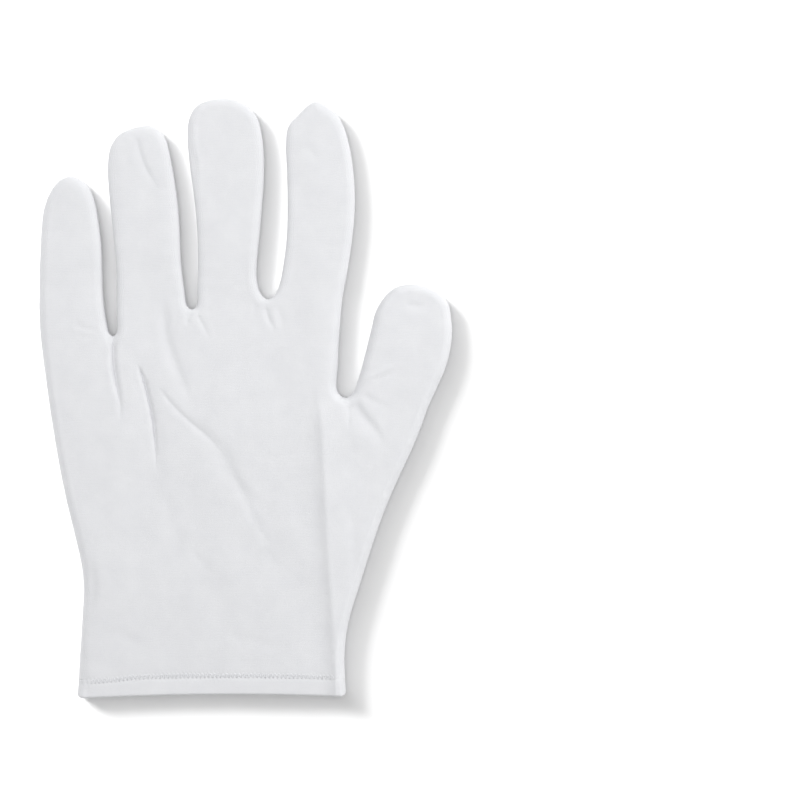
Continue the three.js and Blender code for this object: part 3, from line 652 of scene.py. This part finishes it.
# Rings of points that follow the seam, by their distance from it
RINGS = np.array([0, 0.2, 0.45, 0.75, 1.1, 1.5, 1.95, 2.45, 3.0, 3.65]) * MM
SPACING = 1.05 * MM

# Rows of points along the stitches and the sharp creases, so that the mesh follows them
STITCH_ROWS = np.arange(0.3, 3.4, 0.42) * MM
STITCH_ROW_STEP = 0.38 * MM
STITCH_ROW_END = 4 * MM
# A crease with at least this depth and at most this width counts as sharp, in millimetres as in FOLDS
SHARP_DEEP = 0.24
SHARP_WIDE = 1.5
CREASE_SIDES = (0, -0.35, 0.35, -0.8, 0.8)
crease_rows = []
for up in STITCH_ROWS:
    x = np.arange(outline[-1][0] + STITCH_ROW_END, outline[0][0] - STITCH_ROW_END, STITCH_ROW_STEP)
    crease_rows.append(np.column_stack([x, cuff_edge(x) + HEM_HEIGHT + HEM_GAP + up]))
for fold in FOLDS:
    if abs(fold["deep"]) < SHARP_DEEP or max(fold["wide"]) > SHARP_WIDE:
        continue
    curve = fold_curve(fold)
    way = np.gradient(curve, axis=0)
    way /= np.linalg.norm(way, axis=1)[:, None]
    aside = np.stack([-way[:, 1], way[:, 0]], axis=1)
    for offset in CREASE_SIDES:
        crease_rows.append(curve + aside * offset * MM)

flat, faces = scatter_cloth(SPACING, RINGS, crease_rows)
distances, numbers = measure_seam(flat)
places, heights = roll_edge(
    flat, distances, numbers, seam_z + strip_half[numbers] + SEAM_GAP, glove_depth(flat)
)
held = smooth(distances, 0.4 * MM, 3 * MM)
heights += held * fold_heights(flat, FOLDS) + rumple(flat, distances, numbers)
heights -= hem_dent(flat[:, 0], flat[:, 1])
back = sheet_object("back_cloth", np.column_stack([places, heights]), faces, flat)
thicken(back, WALL)
back.data.materials.append(cotton_white)
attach(back, "root")
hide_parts("back_panel")


# Lower panel
# The same cut of the same jersey, under the hand. It lies on the table and is flattened there, and
# only its edge rolls up to the seam.
PALM_SPACING = 1.3 * MM
flat, faces = scatter_cloth(PALM_SPACING, RINGS[::2])
distances, numbers = measure_seam(flat)
places, heights = roll_edge(
    flat, distances, numbers, seam_z - strip_half[numbers] - SEAM_GAP, np.zeros(len(flat))
)
heights = np.maximum(heights, 0)
palm = sheet_object("palm_cloth", np.column_stack([places, heights]), [f[::-1] for f in faces], flat)
thicken(palm, WALL)
palm.data.materials.append(cotton_white)
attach(palm, "root")
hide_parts("palm_panel")


# Side strips
# Narrow strips of the same jersey, sewn between the two panels from fingertip to fingertip round each
# crotch, and turned with them. From above only their swollen middle shows in the gaps.
SWELL = 0.15 * MM
STRIP_ROWS = 9
for strip in STRIPS:
    first, last = strip_reach[strip]
    numbers = np.arange(first + 2, last - 1)
    places = []
    flats = []
    for share in np.linspace(-1, 1, STRIP_ROWS):
        swell = SWELL * (1 - share**2) * np.clip(strip_half[numbers] / (1.5 * MM), 0, 1)
        tuck = TUCK * 1.1 * share**2
        spots = outline[numbers] + inward[numbers] * (tuck - swell)[:, None]
        z = seam_z + share * strip_half[numbers]
        places.append(np.column_stack([spots, z]))
        flats.append(np.column_stack([outline_along[numbers], z]))
    count = len(numbers)
    faces = [
        (r * count + i, r * count + i + 1, (r + 1) * count + i + 1, (r + 1) * count + i)
        for r in range(STRIP_ROWS - 1)
        for i in range(count - 1)
    ]
    piece = sheet_object(strip.replace("fourchette", "strip"), np.vstack(places), faces, np.vstack(flats))
    thicken(piece, WALL)
    piece.data.materials.append(cotton_white)
    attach(piece, "root")
    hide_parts(strip)


# Cuff hem
# The edge of the jersey turned in and folded double, so its lower edge is round and soft. It runs round
# the open cuff and was pressed flat with it.
HEM_STEP = 0.4 * MM
HEM_SIDE_STEP = 0.25 * MM
HEM_SIDE = 6 * MM
HEM_CORNER = 2.2 * MM
# Where the panel begins above the cuff's edge, in millimetres as in the section below
PANEL_EDGE = (HEM_HEIGHT + HEM_GAP) / MM

# Section of the folded cloth: how far up from the edge, and how deep in from the outer face
round_fold = [(0.75 - 0.75 * math.sin(a), 0.75 - 0.75 * math.cos(a)) for a in np.linspace(0, math.pi, 9)]
HEM_SECTION = [(7.6, 0.9), (7.05, 0.85), (7.0, 0.03), (6.55, 0), (6.15, 0), (5.75, 0), (5.35, 0),
               (4.9, 0), (4.3, 0), (3.6, 0), (2.9, 0), (2.2, 0), (1.5, 0), *round_fold,
               (2.6, 1.5), (4.4, 1.5), (6.92, 1.5), (7.6, 1.5)]
OUTER_ROWS = 13
FOLD_ROW = 16

half_width = (cuff_right - cuff_left) / 2
cuff_middle = (cuff_right + cuff_left) / 2
away = np.append(np.arange(0, HEM_SIDE, HEM_SIDE_STEP), np.arange(HEM_SIDE, half_width, HEM_STEP))
hem_depth = glove_depth(outline[:1])[0]
top_inset, top_z = rolled_profile(away, seam_z + 0.03 * MM, hem_depth)
low_inset, low_z = rolled_profile(away, seam_z - 0.03 * MM, 0.0)
ring_x = np.concatenate([half_width - top_inset, (top_inset - half_width)[::-1],
                         low_inset - half_width, (half_width - low_inset)[::-1]])
ring_z = np.concatenate([top_z, top_z[::-1], low_z, low_z[::-1]])
ring = np.stack([ring_x, ring_z], axis=1)
ring_way = np.roll(ring, -1, axis=0) - np.roll(ring, 1, axis=0)
ring_way /= np.linalg.norm(ring_way, axis=1)[:, None]
ring_in = np.stack([-ring_way[:, 1], ring_way[:, 0]], axis=1)
is_low = np.arange(len(ring)) >= 2 * len(away)
ring_away = np.tile(np.concatenate([away, away[::-1]]), 2)
ring_side = np.repeat([1, -1, -1, 1], len(away))
count = len(ring)
places, flats = [], []
ring_along = np.concatenate([[0], np.cumsum(np.linalg.norm(np.diff(ring, axis=0), axis=1))])
panel_width = np.array([outline[0][0] - cuff_middle, cuff_middle - outline[-1][0]])
for row, (up, deep) in enumerate(HEM_SECTION):
    spots = ring + ring_in * deep * MM
    narrow = np.where(spots[:, 0] > 0, panel_width[0], panel_width[1]) / half_width
    taper = 1 + (narrow - 1) * up / PANEL_EDGE
    x = cuff_middle + spots[:, 0] * taper
    corner = np.clip(np.abs(spots[:, 0]) - half_width + HEM_CORNER, 0, HEM_CORNER)
    rounding = (HEM_CORNER - np.sqrt(HEM_CORNER**2 - corner**2)) * max(0, 1 - up / 5) ** 2
    y = cuff_edge(x) + up * MM + rounding * 0.7
    z = spots[:, 1].copy()
    # The same folds as the panel's, read at the same places of the cloth before it is rolled
    flat_x = cuff_middle + ring_side * (half_width - ring_away) * taper
    spots = np.column_stack([flat_x, y])
    nearest = np.where(ring_side > 0, 0, len(outline) - 1)
    uneven = rumple(spots, ring_away, nearest) - hem_dent(flat_x, y) * (row < OUTER_ROWS)
    uneven += smooth(ring_away, 0.4 * MM, 3 * MM) * fold_heights(spots, FOLDS)
    z += np.where(is_low, 0, uneven * smooth(ring_away, 0, 0.6 * MM))
    places.append(np.column_stack([x, y, z]))
    cut_up = up if row < FOLD_ROW else -up
    flats.append(np.column_stack([ring_along, np.full(count, cut_up * MM)]))
rows = len(HEM_SECTION)
faces = [
    (r * count + i, r * count + (i + 1) % count, ((r + 1) % rows) * count + (i + 1) % count,
     ((r + 1) % rows) * count + i)
    for r in range(rows)
    for i in range(count)
]
hem = sheet_object("hem_cloth", np.vstack(places), faces, np.vstack(flats))
hem.data.materials.append(cotton_white)
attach(hem, "root")
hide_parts("cuff_hem")


# Hem stitches
# A zigzag of white cotton thread right through the folded hem, pulled a little into the cloth. Only its
# upper side is built, as the lower one lies hidden against the table.
THREAD = 0.17 * MM
ROW_START = 5.5 * MM
ROW_END = 5 * MM
# Places along one leg of the zigzag, and how far the thread bows up and is drawn in, as shares of THREAD
LEG_SHARES = np.linspace(0.06, 0.94, 6)
THREAD_BOW = 1.1
THREAD_SINK = 0.7


def thread_tube(path, radius, sides=6):
    """Points and faces of one thin round thread along its path."""
    path = np.array(path)
    way = np.gradient(path, axis=0)
    way /= np.linalg.norm(way, axis=1)[:, None]
    across = np.cross(way, (0, 0, 1))
    across /= np.linalg.norm(across, axis=1)[:, None]
    over = np.cross(across, way)
    spots = []
    for place, a, b in zip(path, across, over):
        for k in range(sides):
            turn = 2 * math.pi * k / sides
            spots.append(place + radius * (math.cos(turn) * a + math.sin(turn) * b))
    faces = [
        (r * sides + k, (r + 1) * sides + k, (r + 1) * sides + (k + 1) % sides, r * sides + (k + 1) % sides)
        for r in range(len(path) - 1)
        for k in range(sides)
    ]
    faces.append(tuple(range(sides)))
    faces.append(tuple((len(path) - 1) * sides + k for k in range(sides))[::-1])
    return np.array(spots), faces


def cloth_height(trees, x, y):
    """Height of the uppermost cloth at a place, or None beside it."""
    spots = [tree.ray_cast(Vector((x, y, 1)), Vector((0, 0, -1)))[0] for tree in trees]
    return max((spot.z for spot in spots if spot is not None), default=None)


graph = bpy.context.evaluated_depsgraph_get()
cloth_trees = [BVHTree.FromObject(piece, graph) for piece in (hem, back)]
spots, faces, start_at = [], [], 0
x = cuff_left + ROW_START
leg = 0
while x < cuff_right - ROW_END:
    low = float(stitch_row(x))
    ends = [low, low + STITCH_RISE]
    if leg % 2:
        ends.reverse()
    path = []
    for t in LEG_SHARES:
        px = x + STITCH_PITCH / 2 * t
        py = float(cuff_edge(px)) + ends[0] + (ends[1] - ends[0]) * t
        pz = cloth_height(cloth_trees, px, py)
        if pz is None:
            continue
        path.append((px, py, pz + THREAD * (THREAD_BOW * math.sin(math.pi * t) ** 0.5 - THREAD_SINK)))
    if len(path) > 3:
        tube, tube_faces = thread_tube(path, THREAD)
        spots.append(tube)
        faces += [tuple(start_at + i for i in face) for face in tube_faces]
        start_at += len(tube)
    x += STITCH_PITCH / 2
    leg += 1
stitch_spots = np.vstack(spots)
stitches = sheet_object("hem_stitches", stitch_spots, faces, stitch_spots[:, :2])
stitches.data.materials.append(cotton_white)
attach(stitches, "root")
